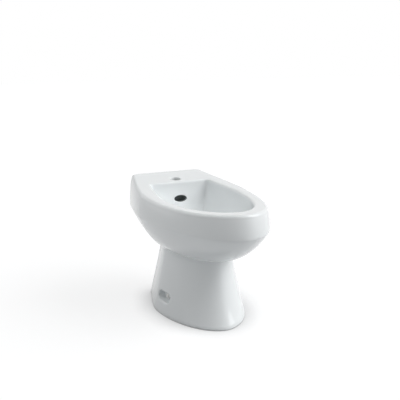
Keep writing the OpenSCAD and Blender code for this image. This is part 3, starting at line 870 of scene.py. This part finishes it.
def mirrored(piece, name):
    """The same piece on the left, with its own mesh."""
    other = piece.copy()
    other.data = piece.data.copy()
    other.name = name
    other.data.name = name
    bpy.context.scene.collection.objects.link(other)
    for v in other.data.vertices:
        v.co.x = -v.co.x
    bpy.ops.object.select_all(action="DESELECT")
    other.select_set(True)
    bpy.context.view_layer.objects.active = other
    bpy.ops.object.mode_set(mode="EDIT")
    bpy.ops.mesh.select_all(action="SELECT")
    bpy.ops.mesh.normals_make_consistent(inside=False)
    bpy.ops.object.mode_set(mode="OBJECT")
    return other


def bend(r, n=8):
    """The quarter bend of the strip at a radius, from the floor up to its upright."""
    return [(bracket_x - bend_r + r * math.sin(a), bend_r - r * math.cos(a))
            for a in [math.pi / 2 * t for t in steps(n)]]


strip = [(foot_in, bracket_t), (foot_in, 0)] + bend(bend_r)
strip += [(bracket_x, top_z), (bracket_x - bracket_t, top_z)] + bend(bend_r - bracket_t)[::-1]
bracket = loft("floor_angle_right", [[(x, y, z) for x, z in strip]
                                     for y in (bracket_low[1], bracket_high[1])], (zinc,), 0)
holes = [((bracket_x - floor_hole_in, fix_y + s * floor_hole_gap / 2, 0), (0, 0, 1), floor_hole_r)
         for s in (-1, 1)]
holes.append(((bracket_x - bracket_t, fix_y, fix_z), (1, 0, 0), side_hole_r))
for base, way, r in holes:
    rod = [(0, -2), (r, -2), (r, bracket_t + 2), (0, bracket_t + 2)]
    boolean(bracket, turned("punch", rod, (base, way), zinc, 40), "DIFFERENCE")
# Its edges are broken, but not those inside the bend
broken = bracket.modifiers.new("broken edges", "BEVEL")
broken.width = 0.5 * MM
broken.segments = 2
broken.limit_method = "ANGLE"
broken.angle_limit = math.radians(50)
bpy.context.view_layer.objects.active = bracket
bpy.ops.object.modifier_apply(modifier=broken.name)
fitted(mirrored(bracket, "floor_angle_left"), "floor_bracket_left")
fitted(bracket, "floor_bracket_right")

# ---------------------------------------------------------------------------------------
# The side fixings: a stainless hexagon screw in a nylon sleeve, a washer in the floor of the
# recess, a nut behind the bracket, and a gloss white cap that clips on a ring under the head.
# ---------------------------------------------------------------------------------------
# Glossy moulded plastic: whiter than the china beside it, with a faint wave left by the mould
gloss_plastic, place = new_material("glossy moulded white plastic")
wave = add(gloss_plastic, "ShaderNodeTexNoise", {"Vector": place, "Scale": 1 / (5 * MM),
                                                 "Detail": 1.0})
colour = add(gloss_plastic, "ShaderNodeMix", {0: wave.outputs[0], 6: linear("#F1F1EE"),
                                              7: linear("#F7F7F5")}, data_type="RGBA")
ripple = add(gloss_plastic, "ShaderNodeBump", {"Height": wave.outputs[0], "Strength": 0.05,
                                               "Distance": 0.1 * MM})
surface = add(gloss_plastic, "ShaderNodeBsdfPrincipled",
              {"Base Color": colour.outputs[2], "Roughness": 0.18, "IOR": 1.49,
               "Normal": ripple.outputs[0]})
add(gloss_plastic, "ShaderNodeOutputMaterial", {"Surface": surface.outputs[0]})

# Along the screw, from inside out: its end, the bracket, the sleeve in the china, the washer in
# the floor of the recess, the clip ring and the head
cap_r = 9.5
cap_wall = 1.4
cap_skirt = 1.9
cap_rise = 6.6
clip_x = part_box("fixing_caps")[1][0] / MM - cap_skirt - cap_rise
head_x = clip_x + 1.5
head_t = 4
screw_in = bracket_x - bracket_t - 13
thread_end = bracket_x + 6
screw_pitch = 1
screw_thread_depth = 0.5
hex_flat_r = 5
nut_t = 5
sleeve_r = 5.5
sleeve_flange = 3.5
washer_r = 10.3
clip_r = 8


def both_sides(piece, name, node, degrees=40):
    """Puts a right-hand piece and its mirror image in their node's place."""
    fitted(mirrored(piece, name + "_left"), node, degrees=degrees)
    fitted(piece, node, degrees=degrees)


points_per_turn = 6
shank_n = int((thread_end - screw_in - 1) / screw_pitch * points_per_turn)
shank = [(0, screw_in), (screw_r - 0.7, screw_in)]
shank += [(screw_r, screw_in + 0.8 + i * screw_pitch / points_per_turn) for i in range(shank_n)]
shank += [(screw_r, head_x + 1), (0, head_x + 1)]
screw = turned("fixing_screw_right", shank, on_screw, stainless, 32)
cut_thread(screw, on_screw, screw_r, screw_in, thread_end, screw_pitch, screw_thread_depth, 0.8)
boolean(screw, hex_nut("head", hex_flat_r, 0, head_x, head_x + head_t, on_screw, stainless),
        "UNION")
both_sides(screw, "fixing_screw", "side_screws", 30)
nut_x = bracket_x - bracket_t
both_sides(hex_nut("screw_nut_right", hex_flat_r, screw_r + 0.1, nut_x - nut_t, nut_x, on_screw,
                   zinc), "screw_nut", "bracket_nuts", 25)
flange_out = sleeve_r + sleeve_flange
sleeve = eased([(side_hole_r, bracket_x), (flange_out, bracket_x), (flange_out, pocket_in),
                (sleeve_r, pocket_in), (sleeve_r, pocket_x), (side_hole_r, pocket_x)], 0.4)
both_sides(turned("screw_bush_right", sleeve, on_screw, nylon, 48), "screw_bush",
           "screw_sleeves")
washer = ring_profile(side_hole_r, washer_r, pocket_x, clip_x, 0.25)
both_sides(turned("recess_washer_right", washer, on_screw, stainless, 64), "recess_washer",
           "side_washers")
clip = ring_profile(side_hole_r, clip_r, clip_x, head_x, 0.3)
both_sides(turned("clip_ring_right", clip, on_screw, nylon, 64), "clip_ring", "cap_rings")
cap_in = clip_r + 0.06
cap_profile = [(cap_r - 0.3, clip_x), (cap_r, clip_x + 0.3)]
cap_profile += [(cap_r * math.cos(a), clip_x + cap_skirt + cap_rise * math.sin(a))
                for a in [math.pi / 2 * t for t in steps(16)]]
cap_profile += [(cap_in * math.cos(a), clip_x + cap_skirt + (cap_rise - cap_wall) * math.sin(a))
                for a in [math.pi / 2 * (1 - t) for t in steps(12)]]
cap_profile += [(cap_in, clip_x)]
both_sides(turned("screw_cap_right", cap_profile, on_screw, gloss_plastic, 72), "screw_cap",
           "fixing_caps")

# ---------------------------------------------------------------------------------------
# The studio: a pale floor that runs out of view, a soft overhead sky, and the camera where
# the photograph was taken from.
# ---------------------------------------------------------------------------------------
def seen_directly(material):
    """A factor that is 1 for the camera and for what metal and glass show, and 0 elsewhere."""
    path = add(material, "ShaderNodeLightPath", {})
    factor = path.outputs["Is Camera Ray"]
    for ray in ("Is Glossy Ray", "Is Transmission Ray"):
        factor = add(material, "ShaderNodeMath", {0: factor, 1: path.outputs[ray]},
                     operation="MAXIMUM").outputs[0]
    return factor


# Pale vinyl: it gives back its own light grey to the object, and the camera and mirrors see it as
# white with a faint shadow of the object; within 75 mm of the foot a painted contact shadow
# darkens it
vinyl = new_material("pale studio vinyl")[0]
paint = add(vinyl, "ShaderNodeBsdfDiffuse", {"Color": linear("#CBCCCD")})
shade = add(vinyl, "ShaderNodeBsdfDiffuse", {"Color": linear("#979899")})
# Ambient occlusion dims the floor's lift near the foot: a painted contact shadow, not light
painted_contact_shadow = add(vinyl, "ShaderNodeAmbientOcclusion", {"Distance": 75 * MM}, samples=16)
glow = add(vinyl, "ShaderNodeMath", {0: painted_contact_shadow.outputs["AO"], 1: 0.76}, operation="MULTIPLY")
lift = add(vinyl, "ShaderNodeEmission", {"Color": linear("#FFFFFF"), "Strength": glow.outputs[0]})
lifted = add(vinyl, "ShaderNodeAddShader", {0: shade.outputs[0], 1: lift.outputs[0]})
shown = add(vinyl, "ShaderNodeMixShader",
            {0: seen_directly(vinyl), 1: paint.outputs[0], 2: lifted.outputs[0]})
add(vinyl, "ShaderNodeOutputMaterial", {"Surface": shown.outputs[0]})
bpy.ops.mesh.primitive_plane_add(size=30, location=(0, 0, 0))
floor = bpy.context.active_object
floor.name = "studio_floor"
floor.data.materials.append(vinyl)

# The sky: weak light from all sides, and a white backdrop
world = bpy.data.worlds.new("studio")
world.use_nodes = True
bpy.context.scene.world = world
world.node_tree.nodes.clear()
sky = add(world, "ShaderNodeBackground", {"Color": linear("#FFFFFF"), "Strength": 0.05})
backdrop = add(world, "ShaderNodeBackground", {"Color": linear("#FFFFFF"), "Strength": 1.0})
shown = add(world, "ShaderNodeMixShader",
            {0: seen_directly(world), 1: sky.outputs[0], 2: backdrop.outputs[0]})
add(world, "ShaderNodeOutputWorld", {"Surface": shown.outputs[0]})


def sun(name, azimuth, elevation, strength, spread):
    """A far softbox: its direction as seen from the object, from the front round to the right."""
    light = bpy.data.lights.new(name, "SUN")
    light.energy = strength
    light.angle = math.radians(spread)
    lamp = bpy.data.objects.new(name, light)
    lamp.rotation_euler = (math.radians(90 - elevation), 0, math.radians(azimuth))
    bpy.context.scene.collection.objects.link(lamp)


# The key comes from the right, the top from above it, the rim from behind on the left and the
# fill from the left. Their strengths were fitted to the greys of the photograph.
sun("key", 62, 32, 2.0, 50)
sun("top", 50, 62, 0.75, 60)
sun("rim", -140, 25, 0.55, 60)
sun("fill", -85, 48, 0.6, 60)

# The camera, placed in metres: a 54 mm lens on a 36 mm sensor, about 14 degrees above the level
# and 25 round to the left
view_azimuth = math.radians(-24.7)
view_elevation = math.radians(13.8)
view_distance = 1.810
view_target = Vector((-0.037, -0.066, 0.382))
toward = Vector((math.sin(view_azimuth) * math.cos(view_elevation),
                 -math.cos(view_azimuth) * math.cos(view_elevation), math.sin(view_elevation)))
lens = bpy.data.cameras.new("camera")
lens.lens = 54
lens.sensor_width = 36
camera = bpy.data.objects.new("camera", lens)
camera.location = view_target + toward * view_distance
camera.rotation_euler = (math.pi / 2 - view_elevation, 0, view_azimuth)
bpy.context.scene.collection.objects.link(camera)
bpy.context.scene.camera = camera
bpy.context.scene.view_settings.view_transform = "Standard"
